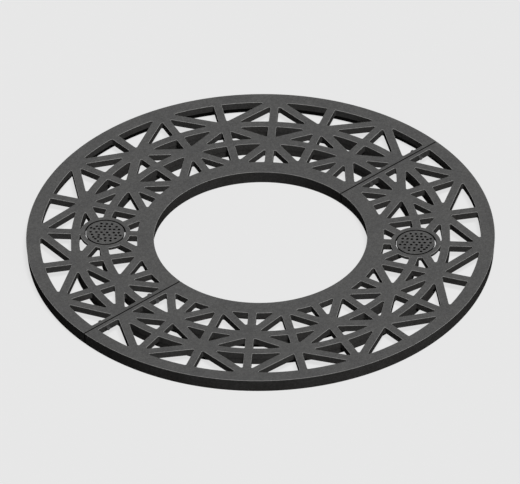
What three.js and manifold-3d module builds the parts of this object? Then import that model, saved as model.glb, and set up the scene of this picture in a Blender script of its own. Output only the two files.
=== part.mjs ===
// Cast iron tree grate: a round paving grate in two halves that are bolted together
// round a tree. Each half is one casting, a star pattern of bars between two rims,
// with a lift-out perforated cover over a watering inlet.
// Millimetres, +Z up. The underside of the rims lies in z = 0, the tree's axis is Z,
// and the joint between the halves lies along X.

import * as THREE from 'three';
import { mergeVertices } from 'three/addons/utils/BufferGeometryUtils.js';
import Module from 'manifold-3d';

const wasm = await Module();
wasm.setup();

// driving sizes of the grate
const OUTER_RADIUS = 750;
const TREE_RADIUS = 341;
const DEPTH = 45;
const WEB_DEPTH = 23;
const RIM_WIDTH = 45;
const COLLAR_WIDTH = 54;
const RIM_SKIRT_WIDTH = 36;
const COLLAR_SKIRT_WIDTH = 31;
const SIDE_DRAFT = 4;

// the star pattern of bars
const SECTORS = 24;
const OUTER_RING_SHARE = 0.639;
const INNER_RING_SHARE = 0.347;
const RING_WIDTH = 27;
const SPOKE_WIDTH = 26;
const BRACE_WIDTH = 27;
const MIDDLE_BRACE_WIDTH = 28.5;
const BRACE_BITE = 11;
const NODE_OFFSET = 2;
const CORNER_RADIUS = 4;
const SMALLEST_OPENING = 3;

// the deep ribs under the two rings
const RIB_STEP = 0.3;
const RIB_DRAFT = 0.5;

// the joint between the halves
const SPLIT_GAP = 3;
const SPLIT_BAR_WIDTH = 13.4;
const PAD_LENGTH = 30;
const PAD_DROP = 4;
const PAD_RISE = 1;

// the watering inlets and their covers
const COVER_SPOKE = 9;
const INLET_INSET = 5;
const INLET_RADIUS = 65;
const BOSS_WALL = 15.5;
const BOSS_LIP = 2.7;
const COVER_GAP = 3.7;
const COVER_THICKNESS = 7;
const LUG_DEPTH = 8;
const LUG_REACH = 9;
const LUG_ROOT = 8;
const LUG_WIDTH = 14;
const HOLE_RADIUS = 4.4;

// where the holes of a cover lie, as shares of its radius: first away from the tree,
// along the spoke under the inlet, then across that spoke
const HOLE_PLACE_SHARES = [
  [-0.31, -0.725], [-0.035, -0.725], [0.25, -0.74],
  [-0.555, -0.51], [-0.205, -0.515], [0.05, -0.515], [0.26, -0.5], [0.475, -0.5],
  [-0.695, -0.28], [-0.445, -0.28], [-0.22, -0.265], [0.05, -0.26], [0.345, -0.275],
  [0.595, -0.275], [0.765, -0.345],
  [-0.695, -0.005], [-0.44, 0], [-0.095, -0.005], [0.2, -0.005], [0.47, -0.01], [0.77, -0.015],
  [-0.8, 0.22], [-0.555, 0.205], [-0.22, 0.205], [0.055, 0.2], [0.33, 0.22], [0.68, 0.205],
  [-0.555, 0.49], [-0.315, 0.475], [-0.035, 0.47], [0.335, 0.405], [0.605, 0.415],
  [0.195, 0.565], [0.485, 0.565],
  [-0.31, 0.69], [-0.035, 0.69], [0.33, 0.75],
];

// the bolts, nuts and washers
const BOLT_RADIUS = 4;
const HEX_ACROSS_FLATS = 13;
const HEAD_HEIGHT = 5.3;
const NUT_HEIGHT = 6.5;
const BOLT_TAIL = 3;
const WASHER_RADIUS = 8;
const WASHER_THICKNESS = 1.6;
const SPANNER_ROOM = 5;
const BOLT_HOLE_CLEARANCE = 0.5;
const THREAD_CLEARANCE = 0.3;

// fits, cuts and fineness
const SEAT_GAP = 0.3;
const OVERRUN = 5;
const MERGE_DISTANCE = 0.001;
const FACETS_PER_SECTOR = 4;
const CORNER_STEPS = 2;
const COVER_SIDES = 48;
const HOLE_SIDES = 8;
const BOLT_SIDES = 12;
const WASHER_SIDES = 20;
const HEX_SIDES = 6;
const OPENING_LIMIT_SHARE = 0.8;

// levels and radii that follow from the driving sizes
const WEB_BOTTOM = DEPTH - WEB_DEPTH;
const RIM_INSIDE = OUTER_RADIUS - RIM_WIDTH;
const COLLAR_OUTSIDE = TREE_RADIUS + COLLAR_WIDTH;
const LATTICE_WIDTH = RIM_INSIDE - COLLAR_OUTSIDE;
const OUTER_RING_RADIUS = COLLAR_OUTSIDE + OUTER_RING_SHARE * LATTICE_WIDTH;
const INNER_RING_RADIUS = COLLAR_OUTSIDE + INNER_RING_SHARE * LATTICE_WIDTH;
const SECTOR_ANGLE = 2 * Math.PI / SECTORS;
const CIRCLE_FACETS = SECTORS * FACETS_PER_SECTOR;
const COVER_RADIUS = INLET_RADIUS - COVER_GAP;
const COVER_BOTTOM = DEPTH - COVER_THICKNESS;
const BOSS_DEPTH = COVER_THICKNESS + SEAT_GAP + BOSS_LIP;
const SPLIT_FACE = SPLIT_GAP / 2 + SPLIT_BAR_WIDTH;
const WASHER_START = SPLIT_FACE + SEAT_GAP;
const HEX_START = WASHER_START + WASHER_THICKNESS + SEAT_GAP;
const BOLT_END = HEX_START + NUT_HEIGHT + BOLT_TAIL;
const BOLT_HEIGHT = DEPTH - WEB_DEPTH / 2;

const castIron = new THREE.MeshStandardMaterial({ color: 0x555555, roughness: 0.8, metalness: 0.3 });
const coverIron = new THREE.MeshStandardMaterial({ color: 0x5a5a5a, roughness: 0.75, metalness: 0.3 });
const boltSteel = new THREE.MeshStandardMaterial({ color: 0x4c4d4f, roughness: 0.5, metalness: 0.8 });

// a closed geometry becomes a solid that can be joined and cut
function solidOf(geometry) {
  geometry.deleteAttribute('normal');
  geometry.deleteAttribute('uv');
  const merged = mergeVertices(geometry, MERGE_DISTANCE);
  return new wasm.Manifold(new wasm.Mesh({
    numProp: 3,
    vertProperties: new Float32Array(merged.attributes.position.array),
    triVerts: new Uint32Array(merged.index.array),
  }));
}

// a solid becomes a geometry again, with flat faces
function geometryOf(solid) {
  const mesh = solid.getMesh();
  const geometry = new THREE.BufferGeometry();
  geometry.setAttribute('position', new THREE.BufferAttribute(new Float32Array(mesh.vertProperties), 3));
  geometry.setIndex(new THREE.BufferAttribute(new Uint32Array(mesh.triVerts), 1));
  geometry.computeVertexNormals();
  return geometry;
}

function polar(radius, angle) {
  return new THREE.Vector2(radius * Math.cos(angle), radius * Math.sin(angle));
}

// a ring about Z from its section, given as [radius, z] corners counter-clockwise
function turnedRing(corners, sides) {
  const profile = [...corners, corners[0]].map(([radius, z]) => new THREE.Vector2(radius, z));
  return solidOf(new THREE.LatheGeometry(profile, sides).rotateX(Math.PI / 2));
}

// a round bar along Z, its lower end at z
function roundBar(radius, length, sides, z) {
  return solidOf(new THREE.CylinderGeometry(radius, radius, length, sides)
    .rotateX(Math.PI / 2).translate(0, 0, z + length / 2));
}

function block(low, high) {
  const size = high.map((value, axis) => value - low[axis]);
  const centre = high.map((value, axis) => (value + low[axis]) / 2);
  return solidOf(new THREE.BoxGeometry(...size).translate(...centre));
}

// Edges of an opening. A straight edge has a point on it, its direction and the normal
// that points into the opening; a round edge has its radius about the tree's axis and
// the side of it, outside or inside, on which the opening lies.
function straightEdge(point, direction, normal) {
  return { point, direction, normal };
}

function roundEdge(radius, side) {
  return { radius, side };
}

function spokeEdge(angle, halfWidth, side) {
  const direction = polar(1, angle);
  const normal = new THREE.Vector2(-direction.y, direction.x).multiplyScalar(side);
  const point = polar(OUTER_RING_RADIUS, angle).addScaledVector(normal, halfWidth);
  return straightEdge(point, direction, normal);
}

function braceEdge({ start, end, width }, side) {
  const direction = end.clone().sub(start).normalize();
  const normal = new THREE.Vector2(-direction.y, direction.x).multiplyScalar(side);
  const point = start.clone().add(end).divideScalar(2).addScaledVector(normal, width / 2);
  return straightEdge(point, direction, normal);
}

// the same edge, moved into the opening
function inset(edge, distance) {
  if (edge.direction) {
    const point = edge.point.clone().addScaledVector(edge.normal, distance);
    return straightEdge(point, edge.direction, edge.normal);
  }
  return roundEdge(edge.radius + edge.side * distance, edge.side);
}

function crossing(first, second) {
  if (!first.direction) return crossing(second, first);
  const { point, direction } = first;
  if (second.direction) {
    const apart = second.point.clone().sub(point);
    const along = apart.dot(second.normal) / direction.dot(second.normal);
    return point.clone().addScaledVector(direction, along);
  }
  const reach = point.dot(direction);
  const root = Math.sqrt(Math.max(0, reach ** 2 - point.lengthSq() + second.radius ** 2));
  const along = Math.abs(root - reach) < Math.abs(-root - reach) ? root - reach : -root - reach;
  return point.clone().addScaledVector(direction, along);
}

// the point of an edge that is nearest to a given point
function footOn(edge, centre) {
  if (edge.direction) {
    const away = centre.clone().sub(edge.point).dot(edge.normal);
    return centre.clone().addScaledVector(edge.normal, -away);
  }
  return centre.clone().setLength(edge.radius);
}

function cornerArc(centre, from, to) {
  const start = from.clone().sub(centre);
  const end = to.clone().sub(centre);
  const turn = Math.atan2(start.cross(end), start.dot(end));
  return Array.from({ length: CORNER_STEPS + 1 }, (_, step) =>
    start.clone().rotateAround(new THREE.Vector2(), turn * step / CORNER_STEPS).add(centre));
}

// points of a round edge between two of its points, on the facets that all rings share
function facetPoints(edge, from, to) {
  const facet = SECTOR_ANGLE / FACETS_PER_SECTOR;
  const start = from.angle() / facet;
  const end = to.angle() / facet;
  const points = [];
  for (let index = Math.floor(Math.min(start, end)) + 1; index < Math.max(start, end); index += 1) {
    points.push(polar(edge.radius, index * facet));
  }
  return start < end ? points : points.reverse();
}

// the outline of an opening between three edges, with its corners rounded
function roundedOutline(edges) {
  const after = (index) => (index + 1) % edges.length;
  const sharp = edges.map((edge, index) => crossing(edge, edges[after(index)]));
  const sides = sharp.map((corner, index) => corner.distanceTo(sharp[after(index)]));
  const half = sides.reduce((sum, side) => sum + side, 0) / 2;
  const spare = sides.reduce((product, side) => product * Math.max(0, half - side), 1);
  const inradius = Math.sqrt(spare / half);
  const total = sharp.reduce((sum, corner) => sum.add(corner), new THREE.Vector2());
  const middle = total.divideScalar(edges.length);
  const open = edges.every((edge) => (edge.direction
    ? middle.clone().sub(edge.point).dot(edge.normal) > 0
    : (middle.length() - edge.radius) * edge.side > 0));
  if (!open || inradius < SMALLEST_OPENING) return null;
  const radius = Math.min(CORNER_RADIUS, inradius * OPENING_LIMIT_SHARE);
  const corners = edges.map((edge, index) => {
    const next = edges[after(index)];
    const centre = crossing(inset(edge, radius), inset(next, radius));
    return cornerArc(centre, footOn(edge, centre), footOn(next, centre));
  });
  return corners.flatMap((corner, index) => {
    const next = edges[after(index)];
    const following = corners[after(index)];
    if (next.direction) return corner;
    return [...corner, ...facetPoints(next, corner.at(-1), following[0])];
  });
}

// the braces of one sector zigzag between its two spokes, from the rim to the collar
const OUTER_NODE = polar(OUTER_RING_RADIUS + NODE_OFFSET, 0);
const INNER_NODE = polar(INNER_RING_RADIUS + NODE_OFFSET, SECTOR_ANGLE);
const BRACES = {
  outer: { start: OUTER_NODE, end: polar(RIM_INSIDE + BRACE_BITE, SECTOR_ANGLE), width: BRACE_WIDTH },
  middle: { start: OUTER_NODE, end: INNER_NODE, width: MIDDLE_BRACE_WIDTH },
  inner: { start: polar(COLLAR_OUTSIDE - BRACE_BITE, 0), end: INNER_NODE, width: BRACE_WIDTH },
};

// the six openings of the sector between the spoke on X and the next one
function sectorOpenings(firstSpokeHalf) {
  const { outer, middle, inner } = BRACES;
  const first = spokeEdge(0, firstSpokeHalf, 1);
  const second = spokeEdge(SECTOR_ANGLE, SPOKE_WIDTH / 2, -1);
  const ringHalf = RING_WIDTH / 2;
  return [
    [first, roundEdge(RIM_INSIDE, -1), braceEdge(outer, -1)],
    [second, braceEdge(outer, 1), roundEdge(OUTER_RING_RADIUS + ringHalf, 1)],
    [second, roundEdge(OUTER_RING_RADIUS - ringHalf, -1), braceEdge(middle, -1)],
    [first, braceEdge(middle, 1), roundEdge(INNER_RING_RADIUS + ringHalf, 1)],
    [first, roundEdge(INNER_RING_RADIUS - ringHalf, -1), braceEdge(inner, -1)],
    [second, braceEdge(inner, 1), roundEdge(COLLAR_OUTSIDE, 1)],
  ].map(roundedOutline).filter((outline) => outline);
}

// every second sector is the mirror image of the one before it
function placedInSector(outline, sector) {
  const mirrored = sector % 2 === 1;
  const angle = SECTOR_ANGLE * (mirrored ? sector + 1 : sector);
  return outline.map((point) => new THREE.Vector2(point.x, mirrored ? -point.y : point.y)
    .rotateAround(new THREE.Vector2(), angle));
}

function circlePoints(radius) {
  return Array.from({ length: CIRCLE_FACETS }, (_, index) =>
    polar(radius, 2 * Math.PI * index / CIRCLE_FACETS));
}

// the web: a plate as deep as the bars, with all the openings of the pattern
function pattern() {
  const plate = new THREE.Shape(circlePoints(OUTER_RADIUS + OVERRUN));
  plate.holes.push(new THREE.Path(circlePoints(TREE_RADIUS - OVERRUN)));
  const plain = sectorOpenings(SPOKE_WIDTH / 2);
  const besideSplit = sectorOpenings(SPLIT_FACE);
  for (let sector = 0; sector < SECTORS; sector += 1) {
    const firstSpoke = sector + sector % 2;
    const outlines = firstSpoke % (SECTORS / 2) === 0 ? besideSplit : plain;
    outlines.forEach((outline) => plate.holes.push(new THREE.Path(placedInSector(outline, sector))));
  }
  const options = { depth: WEB_DEPTH, bevelEnabled: false, steps: 1 };
  return solidOf(new THREE.ExtrudeGeometry(plate, options).translate(0, 0, WEB_BOTTOM));
}

// a rib under a ring, narrower towards its foot so that it leaves the mould
function ringRib(radius) {
  const top = RING_WIDTH / 2 - RIB_STEP;
  const foot = top - RIB_DRAFT;
  const high = WEB_BOTTOM + OVERRUN;
  return turnedRing([[radius - foot, 0], [radius + foot, 0], [radius + top, high], [radius - top, high]],
    CIRCLE_FACETS);
}

// the skirts under the rim and the collar, which stand on the frame or the ground
function skirt(inside, outside) {
  const high = WEB_BOTTOM + OVERRUN;
  return turnedRing([[inside, 0], [outside, 0], [outside, high], [inside, high]], CIRCLE_FACETS);
}

// the outside of the grate: its sides lean in towards the foot
function envelope() {
  const corners = [[TREE_RADIUS + SIDE_DRAFT, 0], [OUTER_RADIUS - SIDE_DRAFT, 0], [OUTER_RADIUS, DEPTH],
    [TREE_RADIUS, DEPTH]];
  return turnedRing(corners, CIRCLE_FACETS);
}

// the boss round a watering inlet, its bore and the lugs that carry the cover
const INLET_ANGLE = COVER_SPOKE * SECTOR_ANGLE;
const INLET_CENTRE = polar(INNER_RING_RADIUS - INLET_INSET, INLET_ANGLE);

function withInlet(casting) {
  const { x, y } = INLET_CENTRE;
  const bossRadius = INLET_RADIUS + BOSS_WALL;
  const boss = roundBar(bossRadius, BOSS_DEPTH, COVER_SIDES, DEPTH - BOSS_DEPTH).translate(x, y, 0);
  const bore = roundBar(INLET_RADIUS, DEPTH + 2 * OVERRUN, COVER_SIDES, -OVERRUN).translate(x, y, 0);
  const lugTop = COVER_BOTTOM - SEAT_GAP;
  const lugEnd = INLET_RADIUS + LUG_ROOT;
  const cross = block([-lugEnd, -LUG_WIDTH / 2, lugTop - LUG_DEPTH], [lugEnd, LUG_WIDTH / 2, lugTop]);
  const hub = roundBar(INLET_RADIUS - LUG_REACH, DEPTH, COVER_SIDES, 0);
  const lugs = cross.add(cross.rotate([0, 0, 90])).subtract(hub).translate(x, y, 0);
  return casting.add(boss).subtract(bore).add(lugs);
}

// the bolts sit in the middle of the openings beside the joint
function boltPlaces() {
  const alongJoint = new THREE.Vector2(1, 0);
  const endLine = straightEdge(new THREE.Vector2(0, BOLT_END), alongJoint, new THREE.Vector2(0, 1));
  const middle = (edge, radius) => (crossing(edge, endLine).x + radius) / 2;
  return [
    { name: 'outer', x: middle(braceEdge(BRACES.outer, -1), RIM_INSIDE) },
    { name: 'inner', x: middle(braceEdge(BRACES.inner, -1), INNER_RING_RADIUS - RING_WIDTH / 2) },
  ];
}

const BOLTS = boltPlaces();

// low pads on the joint face that meet the other half's pads, the bolt holes, and room
// behind the flange for a spanner wherever the pattern comes close to a bolt
function withJointFace(casting) {
  const places = BOLTS.flatMap(({ x }) => [x, -x]);
  const padded = places.reduce((solid, x) => solid.add(block(
    [x - PAD_LENGTH / 2, SEAT_GAP / 2, WEB_BOTTOM + PAD_RISE],
    [x + PAD_LENGTH / 2, SPLIT_FACE - SPLIT_BAR_WIDTH / 2, DEPTH - PAD_DROP],
  )), casting);
  const hole = roundBar(BOLT_RADIUS + BOLT_HOLE_CLEARANCE, SPLIT_FACE + 2 * OVERRUN, BOLT_SIDES, -OVERRUN);
  const roomLength = BOLT_END + SPANNER_ROOM - SPLIT_FACE;
  const room = roundBar(WASHER_RADIUS + SPANNER_ROOM, roomLength, WASHER_SIDES, SPLIT_FACE);
  const cut = hole.add(room).rotate([-90, 0, 0]);
  return places.reduce((solid, x) => solid.subtract(cut.translate(x, 0, BOLT_HEIGHT)), padded);
}

// one half of the grate, on the +Y side of the joint
function halfCasting() {
  const ringed = [
    ringRib(OUTER_RING_RADIUS),
    ringRib(INNER_RING_RADIUS),
    skirt(OUTER_RADIUS - RIM_SKIRT_WIDTH, OUTER_RADIUS + OVERRUN),
    skirt(TREE_RADIUS - OVERRUN, TREE_RADIUS + COLLAR_SKIRT_WIDTH),
  ].reduce((solid, piece) => solid.add(piece), pattern());
  const reach = OUTER_RADIUS + OVERRUN;
  const side = block([-reach, SPLIT_GAP / 2, -OVERRUN], [reach, reach, DEPTH + OVERRUN]);
  return withJointFace(withInlet(ringed.intersect(envelope()).intersect(side)));
}

// a cover, with side 1 as it lies in the back inlet, and with side -1 turned over
function coverPlate(side) {
  const plate = roundBar(COVER_RADIUS, COVER_THICKNESS, COVER_SIDES, COVER_BOTTOM);
  const drillLength = COVER_THICKNESS + 2 * OVERRUN;
  const drill = roundBar(HOLE_RADIUS, drillLength, HOLE_SIDES, COVER_BOTTOM - OVERRUN);
  return HOLE_PLACE_SHARES.reduce((solid, [outward, across]) => {
    const place = new THREE.Vector2(outward, side * across).multiplyScalar(COVER_RADIUS)
      .rotateAround(new THREE.Vector2(), INLET_ANGLE);
    return solid.subtract(drill.translate(place.x, place.y, 0));
  }, plate);
}

function hexBar(length, start) {
  return roundBar(HEX_ACROSS_FLATS / 2 / Math.cos(Math.PI / HEX_SIDES), length, HEX_SIDES, start);
}

// The fasteners are made along Z, measured from the middle of the joint, and then laid
// along Y: the heads are on the -Y side and the nuts on the +Y side.
function boltSolid() {
  const shank = roundBar(BOLT_RADIUS, HEX_START + BOLT_END, BOLT_SIDES, -HEX_START);
  return shank.add(hexBar(HEAD_HEIGHT, -HEX_START - HEAD_HEIGHT));
}

function nutSolid() {
  const length = NUT_HEIGHT + 2 * OVERRUN;
  const bore = roundBar(BOLT_RADIUS + THREAD_CLEARANCE, length, BOLT_SIDES, HEX_START - OVERRUN);
  return hexBar(NUT_HEIGHT, HEX_START).subtract(bore);
}

function washerSolid(start) {
  const bore = BOLT_RADIUS + BOLT_HOLE_CLEARANCE;
  const end = start + WASHER_THICKNESS;
  const corners = [[bore, start], [WASHER_RADIUS, start], [WASHER_RADIUS, end], [bore, end]];
  return turnedRing(corners, WASHER_SIDES);
}

const FASTENERS = [
  { name: 'bolt', solid: boltSolid() },
  { name: 'head_washer', solid: washerSolid(-WASHER_START - WASHER_THICKNESS) },
  { name: 'nut_washer', solid: washerSolid(WASHER_START) },
  { name: 'nut', solid: nutSolid() },
];

function namedMesh(name, geometry, material) {
  const mesh = new THREE.Mesh(geometry, material);
  mesh.name = name;
  return mesh;
}

const grate = new THREE.Group();

// both halves are the same casting, the second one turned half round, and both covers
// are the same plate, the second one turned over
const halfGeometry = geometryOf(halfCasting());
[['back', 0, 1], ['front', Math.PI, -1]].forEach(([name, turn, coverSide]) => {
  const half = new THREE.Group();
  half.add(namedMesh(`${name}_half_casting`, halfGeometry, castIron));
  const coverGeometry = geometryOf(coverPlate(coverSide));
  const cover = namedMesh(`${name}_watering_cover`, coverGeometry, coverIron);
  cover.position.set(INLET_CENTRE.x, INLET_CENTRE.y, 0);
  half.add(cover);
  half.rotation.z = turn;
  grate.add(half);
});

// a bolt, two washers and a nut at each place along the joint
FASTENERS.forEach(({ name, solid }) => {
  const geometry = geometryOf(solid.rotate([-90, 0, 0]));
  BOLTS.forEach((bolt) => {
    [['right', 1], ['left', -1]].forEach(([side, sign]) => {
      const mesh = namedMesh(`${name}_${side}_${bolt.name}`, geometry, boltSteel);
      mesh.position.set(sign * bolt.x, 0, BOLT_HEIGHT);
      grate.add(mesh);
    });
  });
});

export default grate;
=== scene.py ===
# %% [markdown]
# A cast iron tree grate
#
# A tree grate is a ring of cast iron bars that lies level with the paving round a
# street tree. Feet pass over it, and rain and air pass through it to the roots. This
# one comes in two halves that are bolted together round the trunk, and each half has
# a small perforated cover over a watering inlet.
#
# The lesson starts from a measured frame, which already holds every solid in its
# place. It models the visible pieces again with rounded edges and fine detail, gives
# each of them a material, and sets up the floor, the light and the camera.

# %% Load the frame
import math
import bpy
import bmesh
from mathutils import Matrix, Vector


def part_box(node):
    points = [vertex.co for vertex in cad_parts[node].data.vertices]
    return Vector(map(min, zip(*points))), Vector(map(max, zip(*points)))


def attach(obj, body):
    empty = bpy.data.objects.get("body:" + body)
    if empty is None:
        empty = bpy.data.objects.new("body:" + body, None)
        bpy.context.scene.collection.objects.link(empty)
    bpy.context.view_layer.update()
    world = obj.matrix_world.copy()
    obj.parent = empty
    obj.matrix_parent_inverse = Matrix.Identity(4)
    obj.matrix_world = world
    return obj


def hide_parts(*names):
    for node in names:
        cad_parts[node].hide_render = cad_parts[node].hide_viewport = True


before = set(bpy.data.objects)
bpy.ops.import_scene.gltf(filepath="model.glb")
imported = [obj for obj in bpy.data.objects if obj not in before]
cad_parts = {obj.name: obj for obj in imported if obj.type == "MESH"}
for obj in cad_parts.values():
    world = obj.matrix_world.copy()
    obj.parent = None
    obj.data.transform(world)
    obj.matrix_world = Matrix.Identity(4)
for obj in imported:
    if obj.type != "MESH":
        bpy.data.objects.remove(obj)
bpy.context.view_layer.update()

# %% [markdown]
# Sizes
#
# Blender works in metres and a founder works in millimetres, so the sizes are written
# in millimetres times MM. All of them repeat the frame's own sizes, because the
# visible pieces have to fill the same space as the solids that they stand for.

# %% Sizes of the castings
MM = 0.001
OUTER_RADIUS = 750 * MM
TREE_RADIUS = 341 * MM
TOP = 45 * MM
WEB_BOTTOM = 22 * MM
RIM_INSIDE = 705 * MM
COLLAR_OUTSIDE = 395 * MM
RIM_SKIRT_INSIDE = 714 * MM
COLLAR_SKIRT_OUTSIDE = 372 * MM
SIDE_DRAFT = 4 * MM
OUTER_RING = 593.09 * MM
INNER_RING = 502.57 * MM
RING_HALF = 13.5 * MM
SPOKE_HALF = 13 * MM
JOINT_FACE = 1.5 * MM
JOINT_BAR_EDGE = 14.9 * MM
SECTOR = math.radians(15)
SPOKES = 24
print("a grate of", SPOKES, "sectors,", round(2 * OUTER_RADIUS / MM), "mm across")

# %% [markdown]
# Small helpers
#
# Blender's operators act on whatever is selected, so one helper selects a single
# piece and another opens it in edit mode with nothing selected. Others join several
# pieces, copy a piece with a mesh of its own, turned about Z or mirrored, and carve one
# piece with another. A mirrored mesh is inside out, so its normals are worked out again.

# %% Helpers for pieces
def only(piece):
    bpy.ops.object.select_all(action="DESELECT")
    piece.select_set(True)
    bpy.context.view_layer.objects.active = piece
    return piece


def open_mesh(piece, kind="VERT"):
    only(piece)
    bpy.ops.object.mode_set(mode="EDIT")
    bpy.ops.mesh.select_mode(type=kind)
    bpy.ops.mesh.select_all(action="DESELECT")
    return bmesh.from_edit_mesh(piece.data)


def close_mesh():
    bpy.ops.object.mode_set(mode="OBJECT")


def face_outwards(piece):
    open_mesh(piece)
    bpy.ops.mesh.select_all(action="SELECT")
    bpy.ops.mesh.remove_doubles(threshold=0.001 * MM)
    bpy.ops.mesh.normals_make_consistent(inside=False)
    close_mesh()
    return piece


def joined(pieces, name):
    bpy.ops.object.select_all(action="DESELECT")
    for piece in pieces:
        piece.select_set(True)
    bpy.context.view_layer.objects.active = pieces[0]
    bpy.ops.object.join()
    pieces[0].name = name
    return pieces[0]


def copy_of(piece, name, turn=0.0, mirrored=False, place=(0, 0, 0)):
    twin = piece.copy()
    twin.data = piece.data.copy()
    twin.name = name
    bpy.context.collection.objects.link(twin)
    flip = Matrix.Diagonal((1, -1 if mirrored else 1, 1, 1))
    twin.data.transform(Matrix.Translation(place) @ Matrix.Rotation(turn, 4, "Z") @ flip)
    return face_outwards(twin) if mirrored else twin


def carve(piece, tool, operation="DIFFERENCE"):
    """Cut away, add or keep a tool's space, and clear the tool away."""
    only(piece)
    step = piece.modifiers.new("carve", "BOOLEAN")
    step.object = tool
    step.operation = operation
    step.solver = "EXACT"
    bpy.ops.object.modifier_apply(modifier=step.name)
    bpy.data.objects.remove(tool)
    return piece


def report(piece):
    mesh = bmesh.new()
    mesh.from_mesh(piece.data)
    gaps = sum(not edge.is_manifold for edge in mesh.edges)
    litres = mesh.calc_volume(signed=True) * 1000
    print(f"{piece.name}: {len(mesh.faces)} faces, {litres:.3f} litres, {gaps} open edges")
    mesh.free()


# %% [markdown]
# Turned pieces
#
# Most parts of the grate are round: the rim, the rings, the inlets, the covers and
# the washers. Such a part could be a stack of cylinders, but it's simpler to draw half
# of its section once and to spin it about its axis, as a pattern maker does on a
# lathe. The section's corners are rounded first, while they are still only points.

# %% Helpers for turned pieces
def section(corners, rounded=None):
    """A flat section in XZ from (radius, height) corners; rounded is {index: radius}."""
    bpy.ops.object.select_all(action="DESELECT")
    bpy.ops.mesh.primitive_circle_add(vertices=len(corners), radius=MM, fill_type="NGON")
    piece = bpy.context.object
    for vertex, (radius, height) in zip(piece.data.vertices, corners):
        vertex.co = (radius, 0, height)
    rounded = rounded or {}
    for size in sorted(set(rounded.values())):
        places = [Vector((corners[index][0], 0, corners[index][1]))
                  for index, value in rounded.items() if value == size]
        mesh = open_mesh(piece)
        for vertex in mesh.verts:
            vertex.select = any((vertex.co - place).length < 0.01 * MM for place in places)
        mesh.select_flush_mode()
        bpy.ops.mesh.bevel(offset=size, segments=3, affect="VERTICES", clamp_overlap=False)
        close_mesh()
    return piece


def spun(piece, name, steps):
    """The section turned all the way about Z, without its edge on the axis."""
    mesh = open_mesh(piece, "EDGE")
    bpy.ops.mesh.select_all(action="SELECT")
    bpy.ops.mesh.delete(type="ONLY_FACE")
    for edge in mesh.edges:
        edge.select = all(abs(vertex.co.x) < 0.001 * MM for vertex in edge.verts)
    bpy.ops.mesh.delete(type="EDGE")
    bpy.ops.mesh.select_all(action="SELECT")
    bpy.ops.mesh.spin(steps=steps, angle=2 * math.pi, center=(0, 0, 0), axis=(0, 0, 1))
    close_mesh()
    piece.name = name
    return face_outwards(piece)


# %% [markdown]
# The section of the casting
#
# The grate's section shows how little iron it needs. The web on top is 23 mm deep.
# Below it, a skirt under the rim and one under the collar stand on the frame, and two
# ribs stiffen the rings. The rim's outer side, the collar's side towards the tree and
# the ribs lean a little, which lets the pattern leave the sand. The whole ring is spun,
# and then cut along the joint: the saw would leave a flat end, and so does bisect with
# its fill switched on.

# %% Spin the ring and cut it in half
RIB_HALF_TOP = 13.11 * MM
RIB_HALF_FOOT = 12.7 * MM
CAST_EDGE = 1.6 * MM
FILLET = 3 * MM
RING_STEPS = 240
corners = [
    (OUTER_RADIUS, TOP), (TREE_RADIUS, TOP), (TREE_RADIUS + SIDE_DRAFT, 0),
    (COLLAR_SKIRT_OUTSIDE, 0), (COLLAR_SKIRT_OUTSIDE, WEB_BOTTOM),
    (INNER_RING - RIB_HALF_TOP, WEB_BOTTOM), (INNER_RING - RIB_HALF_FOOT, 0),
    (INNER_RING + RIB_HALF_FOOT, 0), (INNER_RING + RIB_HALF_TOP, WEB_BOTTOM),
    (OUTER_RING - RIB_HALF_TOP, WEB_BOTTOM), (OUTER_RING - RIB_HALF_FOOT, 0),
    (OUTER_RING + RIB_HALF_FOOT, 0), (OUTER_RING + RIB_HALF_TOP, WEB_BOTTOM),
    (RIM_SKIRT_INSIDE, WEB_BOTTOM), (RIM_SKIRT_INSIDE, 0), (OUTER_RADIUS - SIDE_DRAFT, 0),
]
edges = {index: CAST_EDGE for index in (0, 1, 2, 3, 6, 7, 10, 11, 14, 15)}
fillets = {index: FILLET for index in (4, 13)}
casting = spun(section(corners, {**edges, **fillets}), "back_casting", RING_STEPS)
report(casting)

open_mesh(casting)
bpy.ops.mesh.select_all(action="SELECT")
bpy.ops.mesh.bisect(plane_co=(0, JOINT_FACE, 0), plane_no=(0, 1, 0), use_fill=True,
                    clear_inner=True)
close_mesh()
report(casting)

# %% [markdown]
# The edges of the openings
#
# Between two spokes the lattice has six openings. Each has three edges: one runs
# along a spoke, one along a brace, and one follows a ring. The pattern could be drawn
# by hand over a picture, but its corners are easy to work out: an edge is either a
# straight line or a circle about the tree, and a corner is where two edges cross.

# %% Lines, circles and where they cross
def polar(radius, angle):
    return Vector((radius * math.cos(angle), radius * math.sin(angle)))


def line(start, end, half_width, side):
    """The edge of a bar from start to end; side is 1 if the opening is on its left."""
    along = (end - start).normalized()
    inward = Vector((-along.y, along.x)) * side
    middle = (start + end) / 2
    return {"point": middle + inward * half_width, "along": along, "inward": inward}


def circle(radius, side):
    """A ring's edge; side is 1 if the opening lies outside it, and -1 if inside."""
    return {"radius": radius, "side": side}


def moved_in(edge, distance):
    """The same edge, moved into the opening."""
    if "along" in edge:
        return {**edge, "point": edge["point"] + edge["inward"] * distance}
    return circle(edge["radius"] + edge["side"] * distance, edge["side"])


def crossing(first, second):
    """Where two edges cross; of two places, the one nearer to the middle of the line."""
    if "along" not in first:
        first, second = second, first
    point, along = first["point"], first["along"]
    if "along" in second:
        apart = second["point"] - point
        return point + along * (apart.dot(second["inward"]) / along.dot(second["inward"]))
    reach = point.dot(along)
    root = math.sqrt(reach ** 2 - point.length_squared + second["radius"] ** 2)
    return point + along * min(root - reach, -root - reach, key=abs)


def nearest(edge, centre):
    """The place on an edge that lies nearest to the centre of a corner."""
    if "along" in edge:
        return centre - edge["inward"] * (centre - edge["point"]).dot(edge["inward"])
    return centre.normalized() * edge["radius"]


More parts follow.
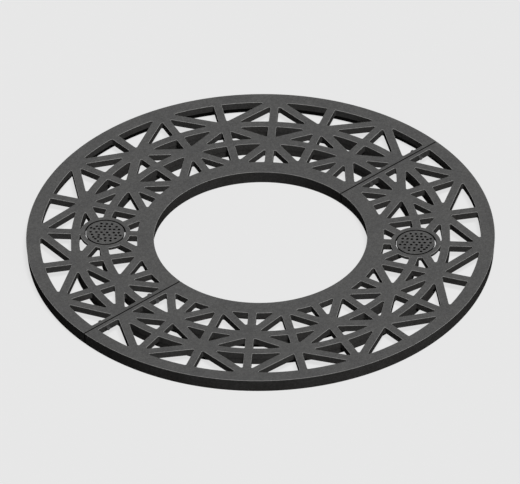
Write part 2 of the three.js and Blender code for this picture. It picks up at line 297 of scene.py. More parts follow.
# %% [markdown]
# The rounded outline of one opening
#
# The founder's sand can't hold a sharp corner, so each corner becomes a small arc. Its
# centre is where the two edges cross once both are moved into the opening by the
# arc's radius. Each point of an outline also keeps the direction that leads out of the
# opening, because the tool that cuts the opening gets wider at its top.

# %% Points of an outline
CORNER_RADIUS = 4 * MM
CORNER_STEPS = 5
ARC_STEP = math.radians(1.5)
SHORTEST_STEP = 0.2


def corner_arc(centre, start, end):
    """Points from start to end round a centre, with the directions that lead outwards."""
    first, last = start - centre, end - centre
    turn = math.atan2(first.x * last.y - first.y * last.x, first.dot(last))
    for step in range(CORNER_STEPS + 1):
        angle = turn * step / CORNER_STEPS
        arm = Vector((first.x * math.cos(angle) - first.y * math.sin(angle),
                      first.x * math.sin(angle) + first.y * math.cos(angle)))
        yield centre + arm, arm.normalized()


def ring_points(edge, start, end):
    """Points of a ring's edge at whole arc steps, but none close to its two ends."""
    first = math.atan2(start.y, start.x) / ARC_STEP
    last = math.atan2(end.y, end.x) / ARC_STEP
    low, high = sorted((first, last))
    inside = [index for index in range(math.ceil(low), math.floor(high) + 1)
              if min(index - low, high - index) > SHORTEST_STEP]
    for index in inside if first < last else reversed(inside):
        direction = polar(1, index * ARC_STEP)
        yield direction * edge["radius"], direction * -edge["side"]


def outline(edges):
    following = edges[1:] + edges[:1]
    corners = []
    for edge, after in zip(edges, following):
        centre = crossing(moved_in(edge, CORNER_RADIUS), moved_in(after, CORNER_RADIUS))
        arc = corner_arc(centre, nearest(edge, centre), nearest(after, centre))
        corners.append(list(arc))
    points = []
    for corner, side, after in zip(corners, following, corners[1:] + corners[:1]):
        points += corner
        if "radius" in side:
            points += ring_points(side, corner[-1][0], after[0][0])
    return points


# %% [markdown]
# The lattice between two spokes
#
# Three braces zigzag from the rim to the collar. They meet a little outside the middle
# of each ring, and the feet of the first and the last reach into the rim and the
# collar. Every brace is an edge of two openings, and so is every ring.

# %% The six openings between two spokes
BRACE_HALF = 13.5 * MM
MIDDLE_BRACE_HALF = 14.25 * MM
NODE_OFFSET = 2 * MM
BRACE_BITE = 11 * MM
outer_node = polar(OUTER_RING + NODE_OFFSET, 0)
inner_node = polar(INNER_RING + NODE_OFFSET, SECTOR)
rim_foot = polar(RIM_INSIDE + BRACE_BITE, SECTOR)
collar_foot = polar(COLLAR_OUTSIDE - BRACE_BITE, 0)


def sector_outlines(first_spoke_half):
    centre = Vector((0, 0))
    first = line(centre, polar(1, 0), first_spoke_half, 1)
    second = line(centre, polar(1, SECTOR), SPOKE_HALF, -1)
    outer = [line(outer_node, rim_foot, BRACE_HALF, side) for side in (-1, 1)]
    middle = [line(outer_node, inner_node, MIDDLE_BRACE_HALF, side) for side in (-1, 1)]
    inner = [line(collar_foot, inner_node, BRACE_HALF, side) for side in (-1, 1)]
    openings = [
        [first, circle(RIM_INSIDE, -1), outer[0]],
        [second, outer[1], circle(OUTER_RING + RING_HALF, 1)],
        [second, circle(OUTER_RING - RING_HALF, -1), middle[0]],
        [first, middle[1], circle(INNER_RING + RING_HALF, 1)],
        [first, circle(INNER_RING - RING_HALF, -1), inner[0]],
        [second, inner[1], circle(COLLAR_OUTSIDE, 1)],
    ]
    return [outline(edges) for edges in openings]


plain_outlines = sector_outlines(SPOKE_HALF)
joint_outlines = sector_outlines(JOINT_BAR_EDGE)
print("points in the six outlines:", [len(points) for points in plain_outlines])

# %% [markdown]
# The tools that cut the openings
#
# A tool is a stack of loops with the outline's shape, one loop for each level, joined
# into a wall by bridging them and closed by filling both ends. The last few levels step
# outwards along a quarter circle, and so the cut leaves a rounded edge on the iron. A
# bevel on the finished casting would do the same, but thousands of small edges meet
# there, and a bevel stops at the smallest of them. The topmost level lies above the
# iron, so no face of the tool lies exactly in the top of the casting. All heights and
# steps of the rounding are shares of its radius.

# %% Build the tools from the outlines
BELOW = 3 * MM
QUARTER_ROUND = [(-1, 0), (-0.5, 0.134), (-0.134, 0.5)]


def rounding_levels(rise, reach):
    """(height, step outwards) up a rounded edge and on to a level above the top."""
    shares = [*QUARTER_ROUND, (rise, reach)]
    return [(TOP + height * CAST_EDGE, step * CAST_EDGE) for height, step in shares]


def opening_tool(points):
    loops = []
    for height, step in [(-BELOW, 0), *rounding_levels(0.134, 1.5)]:
        bpy.ops.object.select_all(action="DESELECT")
        bpy.ops.mesh.primitive_circle_add(vertices=len(points), radius=MM)
        loop = bpy.context.object
        for vertex, (point, outward) in zip(loop.data.vertices, points):
            vertex.co = (*(point + outward * step), height)
        loops.append(loop)
    tool = joined(loops, "tool")
    open_mesh(tool, "EDGE")
    bpy.ops.mesh.select_all(action="SELECT")
    bpy.ops.mesh.bridge_edge_loops()
    bpy.ops.mesh.select_all(action="SELECT")
    bpy.ops.mesh.fill_holes(sides=0)
    close_mesh()
    return face_outwards(tool)


plain_tools = joined([opening_tool(points) for points in plain_outlines], "plain_tools")
joint_tools = joined([opening_tool(points) for points in joint_outlines], "joint_tools")
report(plain_tools)
report(joint_tools)

# %% [markdown]
# All openings of one half
#
# Each second sector is the mirror image of the one before it. The sectors beside the
# joint have a wider first spoke, which becomes the bolted flange, so they use their
# own tools. Twelve sets of tools make one cutter for a whole half.

# %% Place the tools round the half
HALF_SECTORS = SPOKES // 2
sets = []
for sector in range(HALF_SECTORS):
    mirrored = sector % 2 == 1
    first_spoke = sector + 1 if mirrored else sector
    source = joint_tools if first_spoke % HALF_SECTORS == 0 else plain_tools
    sets.append(copy_of(source, f"set_{sector}", SECTOR * first_spoke, mirrored))
bpy.data.objects.remove(plain_tools)
bpy.data.objects.remove(joint_tools)
cutter = joined(sets, "cutter")
report(cutter)

# %% [markdown]
# The watering inlet
#
# A thin boss surrounds the inlet and bridges the openings near it. It could be added
# afterwards, but a second top face in the same plane as the first one is hard on a
# Boolean. Here the boss is taken away from the cutter instead, so that the casting
# simply keeps its iron there. The bore is then cut through everything. Its edge at the
# top is broken by two small slopes, and a helper draws them, because the holes in the
# covers have the same edge.

# %% Keep the boss, cut the openings and the bore
INLET_ANGLE = 9 * SECTOR
INLET = polar(INNER_RING - 5 * MM, INLET_ANGLE)
INLET_RADIUS = 65 * MM
BOSS_RADIUS = 80.5 * MM
BOSS_BOTTOM = 35 * MM
BORE_EDGE = 0.5 * MM
ROUND_STEPS = 96


def bore_section(radius, bottom, edge):
    """Half the section of a drill that breaks the edge of its hole at the top."""
    side = [
        (radius, TOP - edge), (radius + 0.3 * edge, TOP - 0.3 * edge),
        (radius + 2 * edge, TOP + edge),
    ]
    return section([(0, bottom), (radius, bottom), *side, (0, TOP + edge)])


boss_side = [(BOSS_RADIUS - step, height) for height, step in rounding_levels(0.5, 2.87)]
boss_top = boss_side[-1][1]
boss_corners = [(0, BOSS_BOTTOM), (BOSS_RADIUS, BOSS_BOTTOM), *boss_side, (0, boss_top)]
boss = spun(section(boss_corners), "boss", ROUND_STEPS)
bore = spun(bore_section(INLET_RADIUS, -BELOW, BORE_EDGE), "bore", ROUND_STEPS)
for tool in (boss, bore):
    tool.data.transform(Matrix.Translation((*INLET, 0)))
casting = carve(casting, carve(cutter, boss))
casting = carve(casting, bore)
report(casting)

# %% [markdown]
# The lugs under the cover
#
# Four lugs inside the inlet carry its cover. They are small blocks, cast in one with
# the rest. A founder's pattern has no sharp edges, so a cube is scaled to size, its
# edges are bevelled, and a Boolean joins it to the casting. One lug is made at the
# middle of the grate, and its four copies are turned and then moved to the inlet.

# %% Add the lugs
BLOCK_EDGE = 1.2 * MM
LUG_TOP = 37.7 * MM
LUG_BOTTOM = LUG_TOP - 8 * MM
LUG_TIP = 56 * MM
LUG_ROOT = 73 * MM
LUG_HALF = 7 * MM


def rounded_block(low, high, name):
    bpy.ops.object.select_all(action="DESELECT")
    bpy.ops.mesh.primitive_cube_add(size=1)
    piece = bpy.context.object
    piece.name = name
    size = Vector(high) - Vector(low)
    middle = (Vector(high) + Vector(low)) / 2
    piece.data.transform(Matrix.Translation(middle) @ Matrix.Diagonal((*size, 1)))
    open_mesh(piece, "EDGE")
    bpy.ops.mesh.select_all(action="SELECT")
    bpy.ops.mesh.bevel(offset=BLOCK_EDGE, segments=3)
    close_mesh()
    return piece


lug = rounded_block((LUG_TIP, -LUG_HALF, LUG_BOTTOM), (LUG_ROOT, LUG_HALF, LUG_TOP), "lug")
lugs = joined([copy_of(lug, f"lug_{index}", index * math.pi / 2, place=(*INLET, 0))
               for index in range(4)], "lugs")
bpy.data.objects.remove(lug)
casting = carve(casting, lugs, "UNION")
report(casting)

# %% [markdown]
# The joint pads
#
# On each side of the tree two pads meet the pads of the other half, so that the bolts
# pull iron against iron and the rest of the joint stays a little open. They are blocks
# too. The frame says where the bolts stand, and each pad is made round a bolt.

# %% Add the pads
PAD_HALF = 15 * MM
PAD_FACE = 0.15 * MM
PAD_ROOT = 8.2 * MM
PAD_BOTTOM = 23 * MM
PAD_TOP = 41 * MM


def pad_at(x):
    low = (x - PAD_HALF, PAD_FACE, PAD_BOTTOM)
    high = (x + PAD_HALF, PAD_ROOT, PAD_TOP)
    return rounded_block(low, high, "pad")


bolt_x = {}
for place in ("outer", "inner"):
    low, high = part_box(f"bolt_right_{place}")
    bolt_x[place] = (low[0] + high[0]) / 2
print("the bolts stand at", {place: round(x / MM, 1) for place, x in bolt_x.items()})
places = [sign * x for x in bolt_x.values() for sign in (1, -1)]
casting = carve(casting, joined([pad_at(x) for x in places], "pads"), "UNION")
report(casting)

# %% [markdown]
# Bolt holes
#
# The holes for the bolts go through the flange along Y, half a millimetre wider than
# the bolt all round. A cylinder would cut a sharp rim, so the drill is turned from a
# section that widens at both ends and countersinks the hole as it cuts. Its first cone
# is longer, because it starts beyond the joint. The drill is made along Z, like every
# turned piece, and then laid along Y.

# %% Drill the bolt holes
BOLT_HEIGHT = 33.5 * MM
BOLT_HOLE = 4.5 * MM
DRILL_START = -2 * MM
DRILL_END = 16 * MM
SINK = 1.6 * MM
JOINT_SINK = (2.5 * MM, 2.8 * MM)
BOLT_STEPS = 32


def sunk_drill(radius, start, end, name, first_sink=(SINK, SINK)):
    """A drill from start to end with a cone at each; first_sink is (width, height)."""
    width, height = first_sink
    corners = [(0, start), (radius + width, start), (radius, start + height),
               (radius, end - SINK), (radius + SINK, end), (0, end)]
    return spun(section(corners), name, BOLT_STEPS)


def laid(piece, x):
    """Lay a piece that was made along Z along Y, at one of the bolts."""
    turn = Matrix.Rotation(-math.pi / 2, 4, "X")
    piece.data.transform(Matrix.Translation((x, 0, BOLT_HEIGHT)) @ turn)
    return piece


drills = [laid(sunk_drill(BOLT_HOLE, DRILL_START, DRILL_END, "drill", JOINT_SINK), x)
          for x in places]
casting = face_outwards(carve(casting, joined(drills, "drills")))
report(casting)

# %% [markdown]
# Smooth shading
#
# Flat shading would show each facet of the round edges, and plain smooth shading would
# make the flat tops look swollen. So only shallow edges are smoothed, and the Weighted
# Normal modifier lets the large flat faces decide how the light falls on them. The
# finished half is then copied and turned half round, as both come from one pattern.

# %% Shade the casting, and turn the second half out of the first
CAST_SMOOTHING = math.radians(38)


def smoothed(piece, angle=CAST_SMOOTHING):
    only(piece)
    bpy.ops.object.shade_smooth_by_angle(angle=angle)
    step = piece.modifiers.new("even", "WEIGHTED_NORMAL")
    step.keep_sharp = True
    bpy.ops.object.modifier_apply(modifier=step.name)
    return piece


smoothed(casting)
front_casting = copy_of(casting, "front_casting", math.pi)
print("both castings have", len(casting.data.polygons), "faces")

# %% [markdown]
# The watering covers
#
# A cover is a round plate with 37 small holes, thick enough to step on. The holes lie
# in rows that aren't quite straight, and the gaps between them differ, so no rule gives
# their places: a table holds them, as shares of the cover's radius. One hole tool is
# turned, like the tool for the bore, and copied to all the places. Joined into one
# cutter they take a single Boolean. The other cover is the same plate turned over,
# which makes its holes a mirror image.

# %% Make the covers
COVER_RADIUS = 61.3 * MM
COVER_BOTTOM = 38 * MM
COVER_EDGES = {1: 0.8 * MM, 2: 0.5 * MM}
HOLE_RADIUS = 4.4 * MM
HOLE_BOTTOM = COVER_BOTTOM - 2 * MM
HOLE_EDGE = 0.4 * MM
HOLE_STEPS = 20
HOLE_PLACES = [
    (-0.31, -0.725), (-0.035, -0.725), (0.25, -0.74),
    (-0.555, -0.51), (-0.205, -0.515), (0.05, -0.515), (0.26, -0.5), (0.475, -0.5),
    (-0.695, -0.28), (-0.445, -0.28), (-0.22, -0.265), (0.05, -0.26), (0.345, -0.275),
    (0.595, -0.275), (0.765, -0.345),
    (-0.695, -0.005), (-0.44, 0), (-0.095, -0.005), (0.2, -0.005), (0.47, -0.01),
    (0.77, -0.015),
    (-0.8, 0.22), (-0.555, 0.205), (-0.22, 0.205), (0.055, 0.2), (0.33, 0.22),
    (0.68, 0.205),
    (-0.555, 0.49), (-0.315, 0.475), (-0.035, 0.47), (0.335, 0.405), (0.605, 0.415),
    (0.195, 0.565), (0.485, 0.565),
    (-0.31, 0.69), (-0.035, 0.69), (0.33, 0.75),
]
plate = [(0, COVER_BOTTOM), (COVER_RADIUS, COVER_BOTTOM), (COVER_RADIUS, TOP), (0, TOP)]
cover = spun(section(plate, COVER_EDGES), "cover", ROUND_STEPS)
hole = spun(bore_section(HOLE_RADIUS, HOLE_BOTTOM, HOLE_EDGE), "hole", HOLE_STEPS)
holes = [copy_of(hole, "hole", place=(outward * COVER_RADIUS, across * COVER_RADIUS, 0))
         for outward, across in HOLE_PLACES]
bpy.data.objects.remove(hole)
print("holes in a cover:", len(holes))
cover = face_outwards(carve(cover, joined(holes, "holes")))
back_cover = copy_of(cover, "back_cover_plate", INLET_ANGLE, place=(*INLET, 0))
front_cover = copy_of(cover, "front_cover_plate", INLET_ANGLE + math.pi, True, (*-INLET, 0))
bpy.data.objects.remove(cover)
for piece in (back_cover, front_cover):
    smoothed(piece)

# %% [markdown]
# Bars with six sides
#
# A bolt's head and a nut start as a bar with six sides. A lathe then takes its corners
# off at 30 degrees, which gives the curved edges that every bolt head has: here the bar
# is intersected with a turned blank. A head loses its corners on its outer end only,
# and a nut on both ends.

# %% Helper for heads and nuts
HEX_CORNER = 6.5 * MM / math.cos(math.pi / 6)
FLAT_END = 6.2 * MM
HEX_STEPS = 48


def hexagon(start, end, name, both_ends):
    """A bar with six sides, its corners turned off at its start or at both ends."""
    bpy.ops.object.select_all(action="DESELECT")
    bpy.ops.mesh.primitive_cylinder_add(vertices=6, radius=HEX_CORNER, depth=end - start,
                                        location=(0, 0, (start + end) / 2))
    bar = bpy.context.object
    bpy.ops.object.transform_apply(location=True)
    bar.name = name
    slope = math.tan(math.radians(30))
    wide, over = HEX_CORNER + 0.5 * MM, 0.35 * MM
    drop = (wide - FLAT_END) * slope
    tip = FLAT_END - over / slope
    blank = [(0, start - over), (tip, start - over), (wide, start + drop)]
    blank += [(wide, end - drop), (tip, end + over)] if both_ends else [(wide, end + over)]
    blank += [(0, end + over)]
    return carve(bar, spun(section(blank), "blank", HEX_STEPS), "INTERSECT")


# %% [markdown]
# The bolt and its nut
#
# The nut hides most of the thread, which shows only on the tail behind it. So three
# grooves are enough, and they are part of the turned shank's section. The shank reaches
# into the head and is joined to it, and the nut is drilled like the bolt holes. Bolt
# and nut are made along Z, measured from the middle of the joint.

# %% Turn the bolt and the nut
BOLT = 4 * MM
HEX_START = 17.1 * MM
HEAD_END = HEX_START + 5.3 * MM
NUT_END = HEX_START + 6.5 * MM
TAIL_END = NUT_END + 3 * MM
TAIL_TIP = 3.3 * MM
NUT_BORE = 4.3 * MM
NUT_OVER = 1 * MM
THREAD_ROOT = 3.45 * MM
THREAD_PITCH = 1 * MM
FIRST_CREST = NUT_END - 1.2 * MM
LAST_CREST = TAIL_END - 0.8 * MM
thread = []
for turn in range(3):
    crest = FIRST_CREST + turn * THREAD_PITCH
    thread += [(BOLT, crest), (THREAD_ROOT, crest + THREAD_PITCH / 2)]
inside_head = -HEX_START - 2 * MM
shank = [(0, inside_head), (BOLT, inside_head), *thread, (BOLT, LAST_CREST),
         (TAIL_TIP, TAIL_END), (0, TAIL_END)]
head = hexagon(-HEAD_END, -HEX_START, "bolt", False)
bolt = carve(head, spun(section(shank), "shank", BOLT_STEPS), "UNION")
nut_bore = sunk_drill(NUT_BORE, HEX_START - NUT_OVER, NUT_END + NUT_OVER, "nut_bore")
nut = carve(hexagon(HEX_START, NUT_END, "nut", True), nut_bore)
report(bolt)
report(nut)

# %% [markdown]
# The washers
#
# A washer is punched from sheet, which rounds its outer edge a little. It is turned
# from a small rectangle with two rounded corners. One lies under the head of each bolt
# and one under its nut.

# %% Turn the washers
WASHER_RADIUS = 8 * MM
WASHER_START = 15.2 * MM
WASHER_THICKNESS = 1.6 * MM
WASHER_EDGES = {1: 0.35 * MM, 2: 0.35 * MM}


def washer(start, name):
    end = start + WASHER_THICKNESS
    ring = [(BOLT_HOLE, start), (WASHER_RADIUS, start), (WASHER_RADIUS, end), (BOLT_HOLE, end)]
    return spun(section(ring, WASHER_EDGES), name, HEX_STEPS)


fasteners = {
    "bolt": face_outwards(bolt),
    "nut": face_outwards(nut),
    "head_washer": washer(-WASHER_START - WASHER_THICKNESS, "head_washer"),
    "nut_washer": washer(WASHER_START, "nut_washer"),
}
print("kinds of fasteners:", *fasteners)

# %% [markdown]
# Grey iron and its skin
#
# A casting keeps the skin of its sand mould: fine grains, shallow waves where the sand
# was rammed less firmly, and a colour that changes slowly from patch to patch. A
# photograph wrapped round the iron would stretch on the walls, so all of this comes
# from noise in the object's own space, which has no seams. These helpers add a node and
# hand back its output, so that a skin can be written as a short list of steps.

# %% Helpers for materials
def skin_nodes(name):
    skin = bpy.data.materials.new(name)
    skin.use_nodes = True
    nodes, links = skin.node_tree.nodes, skin.node_tree.links
    return skin, nodes, links, nodes["Principled BSDF"]


def add(nodes, kind, **settings):
    node = nodes.new(kind)
    for key, value in settings.items():
        setattr(node, key, value)
    return node


def maths(nodes, links, operation, *values):
    node = add(nodes, "ShaderNodeMath", operation=operation)
    for value, socket in zip(values, node.inputs):
        links.new(value, socket)
    return node.outputs[0]


def noise(nodes, links, size, detail=3.0, roughness=0.55):
    """Noise in object space, with features of about the given size."""
    place = add(nodes, "ShaderNodeTexCoord")
    texture = add(nodes, "ShaderNodeTexNoise")
    texture.inputs["Scale"].default_value = 1 / size
    texture.inputs["Detail"].default_value = detail
    texture.inputs["Roughness"].default_value = roughness
    links.new(place.outputs["Object"], texture.inputs["Vector"])
    return texture.outputs["Fac"]


def ramp(nodes, links, value, low, high, first, second):
    """A colour that goes from first to second as value goes from low to high."""
    node = add(nodes, "ShaderNodeValToRGB")
    node.color_ramp.elements[0].position = low
    node.color_ramp.elements[1].position = high
    node.color_ramp.elements[0].color = (*first, 1)
    node.color_ramp.elements[1].color = (*second, 1)
    links.new(value, node.inputs["Fac"])
    return node.outputs["Color"]


def blend(nodes, links, share, first, second, kind="MIX"):
    node = add(nodes, "ShaderNodeMix", data_type="RGBA", blend_type=kind)
    if isinstance(share, float):
        node.inputs["Factor"].default_value = share
    else:
        links.new(share, node.inputs["Factor"])
    links.new(first, node.inputs["A"])
    links.new(second, node.inputs["B"])
    return node.outputs["Result"]


def stretch(nodes, links, value, low, high, first, second):
    """The value, stretched from low..high to first..second."""
    node = add(nodes, "ShaderNodeMapRange")
    limits = {"From Min": low, "From Max": high, "To Min": first, "To Max": second}
    for socket, number in limits.items():
        node.inputs[socket].default_value = number
    links.new(value, node.inputs["Value"])
    return node.outputs["Result"]


def bumps(nodes, links, heights):
    """Bump nodes in a chain, from (height, distance, strength) of each grain."""
    normal = None
    for height, distance, strength in heights:
        node = add(nodes, "ShaderNodeBump")
        node.inputs["Distance"].default_value = distance
        node.inputs["Strength"].default_value = strength
        links.new(height, node.inputs["Height"])
        if normal is not None:
            links.new(normal, node.inputs["Normal"])
        normal = node.outputs["Normal"]
    return normal


def grey(tone):
    return (tone, tone, tone)


# %% [markdown]
# Painted shade and grime in the gaps
#
# The joint between the halves and the gap round each cover are painted nearly black:
# painted shade, as falls deep in these narrow gaps, over the wet dirt that collects there
# and dries dark. It could be painted by hand, but its place is easy to say in numbers:
# close to the plane of the joint, or at a certain distance from the middle of an inlet.
# So two distances in object space, stretched and combined, make the mask.

# %% Find the gaps
# Where the gaps get their painted shade and dirt, nearly black.
COVER_SHADE_AND_GRIME = (COVER_RADIUS - 1.3 * MM, COVER_RADIUS - 0.3 * MM)
BORE_SHADE_AND_GRIME = (INLET_RADIUS + 0.4 * MM, INLET_RADIUS + 1.6 * MM)
JOINT_SHADE_AND_GRIME = (JOINT_FACE + 0.2 * MM, JOINT_FACE + 1.5 * MM)


def near_inlets(nodes, links, place):
    """1 in the gaps round the two covers, seen from above, else 0."""
    flat = add(nodes, "ShaderNodeVectorMath", operation="MULTIPLY")
    flat.inputs[1].default_value = (1, 1, 0)
    links.new(place, flat.inputs[0])
    distances = []
    for sign in (1, -1):
        away = add(nodes, "ShaderNodeVectorMath", operation="DISTANCE")
        away.inputs[1].default_value = (sign * INLET.x, sign * INLET.y, 0)
        links.new(flat.outputs["Vector"], away.inputs[0])
        distances.append(away.outputs["Value"])
    distance = maths(nodes, links, "MINIMUM", *distances)
    past_cover = stretch(nodes, links, distance, *COVER_SHADE_AND_GRIME, 0, 1)
    before_boss = stretch(nodes, links, distance, *BORE_SHADE_AND_GRIME, 1, 0)
    return maths(nodes, links, "MULTIPLY", past_cover, before_boss)


def near_gaps(nodes, links):
    """1 in the joint between the halves and in the gaps round the covers, else 0."""
    place = add(nodes, "ShaderNodeTexCoord").outputs["Object"]
    parts = add(nodes, "ShaderNodeSeparateXYZ")
    links.new(place, parts.inputs[0])
    aside = maths(nodes, links, "ABSOLUTE", parts.outputs["Y"])
    in_joint = stretch(nodes, links, aside, *JOINT_SHADE_AND_GRIME, 1, 0)
    return maths(nodes, links, "MAXIMUM", near_inlets(nodes, links, place), in_joint)


# %% [markdown]
# The skin of the iron
#
# One function builds the skin of the castings and that of the covers. The Z of the
# surface's normal tells a top, where it is 1, from a wall, where it is 0. Shoes keep the
# tops a little cleaner. On the castings a thin rust film stays on the walls; the covers'
# walls are painted nearly black, as painted shade in their holes and round their rims.
# In between lies a rounded edge, which wheels rub brighter; on the castings it is painted
# much lighter still, as a painted highlight along every rounded edge. Specks and blotches
# then darken and lighten all of it. The skin is too rough and too dry to shine, so its
# specular level is 0.

# %% Cast the skin
def iron_skin(name, top, worn, edge, wall, wall_dirt_and_shade, grain):
    skin, nodes, links, shader = skin_nodes(name)
    patches = noise(nodes, links, 90 * MM, 5)
    blotches = noise(nodes, links, 8 * MM, 2)
    specks = noise(nodes, links, 3.5 * MM, 4, 0.65)
    sand = noise(nodes, links, grain, 2)
    waves = noise(nodes, links, 16 * MM, 3)

    facing = add(nodes, "ShaderNodeNewGeometry")
    parts = add(nodes, "ShaderNodeSeparateXYZ")
    links.new(facing.outputs["Normal"], parts.inputs[0])
    upwards = parts.outputs["Z"]
    on_top = stretch(nodes, links, upwards, 0.2, 0.6, 0, 1)
    above_wall = stretch(nodes, links, upwards, 0.3, 0.65, 0, 1)
    below_top = stretch(nodes, links, upwards, 0.8, 0.99, 1, 0)
    on_edge = maths(nodes, links, "MULTIPLY", above_wall, below_top)

    tops = ramp(nodes, links, patches, 0.35, 0.65, top, worn)
    # On the castings the wall tones are a rust film; on the covers they are painted shade,
    # nearly black.
    walls = ramp(nodes, links, patches, 0.4, 0.65, wall, wall_dirt_and_shade)
    # The edge tone is wear, and on the castings also a painted highlight, far lighter than the
    # tops.
    rubbed_and_highlit = ramp(nodes, links, specks, 0.45, 0.8, edge, worn)
    dust = ramp(nodes, links, specks, 0.3, 0.7, grey(0.76), (1.2, 1.19, 1.18))
    stain = ramp(nodes, links, blotches, 0.35, 0.65, grey(0.9), grey(1.12))
    # Nearly black: painted shade in the gaps, over the dirt that collects there.
    gap_shade_and_soot = ramp(nodes, links, specks, 0.3, 0.7, grey(0.012), (0.02, 0.019, 0.018))
    colour = blend(nodes, links, on_top, walls, tops)
    colour = blend(nodes, links, on_edge, colour, rubbed_and_highlit)
    colour = blend(nodes, links, 1.0, colour, dust, "MULTIPLY")
    colour = blend(nodes, links, 1.0, colour, stain, "MULTIPLY")
    colour = blend(nodes, links, near_gaps(nodes, links), colour, gap_shade_and_soot)
    links.new(colour, shader.inputs["Base Color"])

    dull = stretch(nodes, links, specks, 0.3, 0.7, 0.62, 0.88)
    links.new(dull, shader.inputs["Roughness"])
    shader.inputs["Specular IOR Level"].default_value = 0
    grains = [(waves, 2 * MM, 0.3), (specks, 1 * MM, 0.45), (sand, 0.5 * MM, 0.6)]
    links.new(bumps(nodes, links, grains), shader.inputs["Normal"])
    return skin


# The castings' edge tone of 0.4 is a painted highlight along the rounded edges, over their
# wear.
iron = iron_skin("weathered_cast_iron", top=grey(0.085), worn=(0.095, 0.095, 0.094),
                 edge=(0.4, 0.4, 0.395), wall=(0.084, 0.083, 0.082),
                 wall_dirt_and_shade=(0.073, 0.071, 0.069), grain=1.1 * MM)
# The covers' walls of 0.012 are painted shade: nearly black, so that their holes and the gap
# round each cover look dark.
cover_iron = iron_skin("trodden_cast_iron", top=grey(0.088), worn=(0.1, 0.1, 0.099),
                       edge=grey(0.1), wall=grey(0.012), wall_dirt_and_shade=(0.016, 0.015, 0.015),
                       grain=0.9 * MM)
print("skins of the iron:", iron.name, cover_iron.name)

# %% [markdown]
# Dull steel
#
# The bolts, nuts and washers are zinc plated steel that has gone dull. It is a metal
# under a thin film, so it gets a high but not a full metallic value, fine lathe marks
# and stains that are rougher than the rest.

# %% The skin of the fasteners
def steel_skin():
    skin, nodes, links, shader = skin_nodes("dull_plated_steel")
    stains = noise(nodes, links, 5 * MM, 4)
    scratches = noise(nodes, links, 0.5 * MM, 2)
    bright, stained = (0.13, 0.13, 0.135), (0.075, 0.073, 0.07)
    colour = ramp(nodes, links, stains, 0.35, 0.65, bright, stained)
    links.new(colour, shader.inputs["Base Color"])
    links.new(stretch(nodes, links, stains, 0.3, 0.7, 0.38, 0.62), shader.inputs["Roughness"])
    shader.inputs["Metallic"].default_value = 0.6
    links.new(bumps(nodes, links, [(scratches, 0.1 * MM, 0.3)]), shader.inputs["Normal"])
    return skin


steel = steel_skin()
print("skin of the fasteners:", steel.name)

# %% [markdown]
# Every piece in its place
#
# Each visible piece stands for one of the frame's solids and moves with the same body.
# The castings and the fasteners belong to the grate itself, and each cover lifts out
# on its own.

# %% Fasten the pieces to their bodies
STEEL_SMOOTHING = math.radians(35)


def settle(piece, body, node, skin):
    piece.data.materials.clear()
    piece.data.materials.append(skin)
    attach(piece, body)
    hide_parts(node)
    report(piece)


settle(casting, "grate", "back_half_casting", iron)
settle(front_casting, "grate", "front_half_casting", iron)
settle(back_cover, "back_cover", "back_watering_cover", cover_iron)
settle(front_cover, "front_cover", "front_watering_cover", cover_iron)
for kind, original in fasteners.items():
    smoothed(original, STEEL_SMOOTHING)
    for place, x in bolt_x.items():
        for side, sign in (("right", 1), ("left", -1)):
            piece = laid(copy_of(original, f"{side}_{place}_{kind}"), sign * x)
            settle(piece, "grate", f"{kind}_{side}_{place}", steel)
    bpy.data.objects.remove(original)

# %% [markdown]
# The floor
#
# The grate lies on a plain pale floor. A floor as pale as that would throw light up
# into the openings from below, and the walls of the iron would look chalky. So Light
# Path tells the rays apart: a ray from the camera or from a glossy surface sees the
# pale floor with a faint shadow on it, and every other ray meets a dark matte one.

# %% Lay the floor
FLOOR_SIZE = 40
BACKGROUND = 0.7965
DARK_FLOOR = 0.06
SHADOW_SHARE = 0.12


def plain(nodes, kind, tone):
    node = add(nodes, kind)
    node.inputs["Color"].default_value = (*grey(tone), 1)
    return node.outputs[0]


def mixed(nodes, links, share, first, second):
    node = add(nodes, "ShaderNodeMixShader")
    if isinstance(share, float):
        node.inputs["Fac"].default_value = share
    else:
        links.new(share, node.inputs["Fac"])
    links.new(first, node.inputs[1])
    links.new(second, node.inputs[2])
    return node.outputs[0]


bpy.ops.object.select_all(action="DESELECT")
bpy.ops.mesh.primitive_plane_add(size=FLOOR_SIZE)
floor = bpy.context.object
floor.name = "floor"
paving, nodes, links, shader = skin_nodes("pale_floor")
nodes.remove(shader)
rays = add(nodes, "ShaderNodeLightPath").outputs
seen = maths(nodes, links, "MAXIMUM", rays["Is Camera Ray"], rays["Is Glossy Ray"])
seen = maths(nodes, links, "MAXIMUM", seen, rays["Is Transmission Ray"])
glow = plain(nodes, "ShaderNodeEmission", BACKGROUND)
lit = plain(nodes, "ShaderNodeBsdfDiffuse", BACKGROUND)
dark = plain(nodes, "ShaderNodeBsdfDiffuse", DARK_FLOOR)
pale = mixed(nodes, links, SHADOW_SHARE, glow, lit)
links.new(mixed(nodes, links, seen, dark, pale), nodes["Material Output"].inputs["Surface"])
floor.data.materials.append(paving)
print("the floor shows a tone of", BACKGROUND)

# %% [markdown]
# The light
#
# The tops of the grate are evenly lit and its walls are dark, as under one wide lamp
# overhead that leans a little to the front. An area lamp would light the middle more
# than the rim, so a sun lamp is used: its rays are parallel, and its angle softens the
# shadows. At a strength of about pi a level surface renders as its colour is written.
# The world adds very little light, and the camera sees it as pale as the floor.

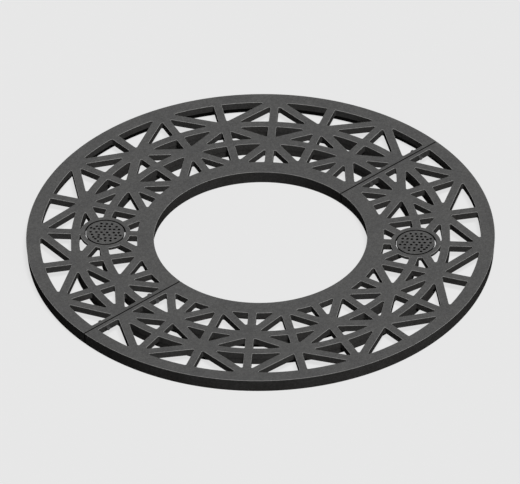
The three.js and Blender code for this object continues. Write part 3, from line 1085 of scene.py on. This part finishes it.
# %% Hang the lamp
LAMP_STRENGTH = 1.04 * math.pi
LAMP_ANGLE = math.radians(20)
LAMP_TILT = math.radians(18)
LAMP_TURN = math.radians(-9)
WORLD_STRENGTH = 0.05
scene = bpy.context.scene
scene.view_settings.view_transform = "Standard"
scene.world = bpy.data.worlds.new("studio")
scene.world.use_nodes = True
nodes, links = scene.world.node_tree.nodes, scene.world.node_tree.links
soft = nodes["Background"]
soft.inputs["Color"].default_value = (*grey(1), 1)
soft.inputs["Strength"].default_value = WORLD_STRENGTH
backdrop = plain(nodes, "ShaderNodeBackground", BACKGROUND)
camera_ray = add(nodes, "ShaderNodeLightPath").outputs["Is Camera Ray"]
sky = mixed(nodes, links, camera_ray, soft.outputs[0], backdrop)
links.new(sky, nodes["World Output"].inputs["Surface"])

bpy.ops.object.light_add(type="SUN")
lamp = bpy.context.object
lamp.name = "ceiling_light"
lamp.data.energy = LAMP_STRENGTH
lamp.data.angle = LAMP_ANGLE
lamp.rotation_euler = (LAMP_TILT, 0, LAMP_TURN)
print("the lamp's strength is", round(LAMP_STRENGTH, 3))

# %% [markdown]
# The camera
#
# The camera looks down on the grate from in front, with the joint running across the
# picture from the lower left to the upper right. It is orthographic, as for a catalogue
# drawing: parallel edges stay parallel, and every circle becomes a plain ellipse. Its
# axes are worked out from three angles, and it stands back along its line of sight from
# a point close to the middle of the grate's top.

# %% Set up the camera
AZIMUTH = math.radians(-40.83)
ELEVATION = math.radians(37.75)
ROLL = math.radians(0.71)
VIEW_WIDTH = 1.6635
PIXEL = VIEW_WIDTH / 520
LEFT_SHIFT = 0.5 * PIXEL
DOWN_SHIFT = 4.65 * PIXEL
DISTANCE = 5
level = Vector((math.cos(AZIMUTH), math.sin(AZIMUTH), 0))
ahead = Vector((-math.sin(AZIMUTH) * math.cos(ELEVATION),
                math.cos(AZIMUTH) * math.cos(ELEVATION),
                -math.sin(ELEVATION)))
upright = level.cross(ahead)
right = level * math.cos(ROLL) - upright * math.sin(ROLL)
above = level * math.sin(ROLL) + upright * math.cos(ROLL)
stand = Vector((0, 0, TOP)) - right * LEFT_SHIFT - above * DOWN_SHIFT - ahead * DISTANCE
bpy.ops.object.camera_add()
camera = bpy.context.object
camera.name = "camera"
camera.data.type = "ORTHO"
camera.data.ortho_scale = VIEW_WIDTH
axes = Matrix((right, above, -ahead)).transposed().to_4x4()
camera.matrix_world = Matrix.Translation(stand) @ axes
scene.camera = camera
print("the picture is", VIEW_WIDTH, "metres wide")
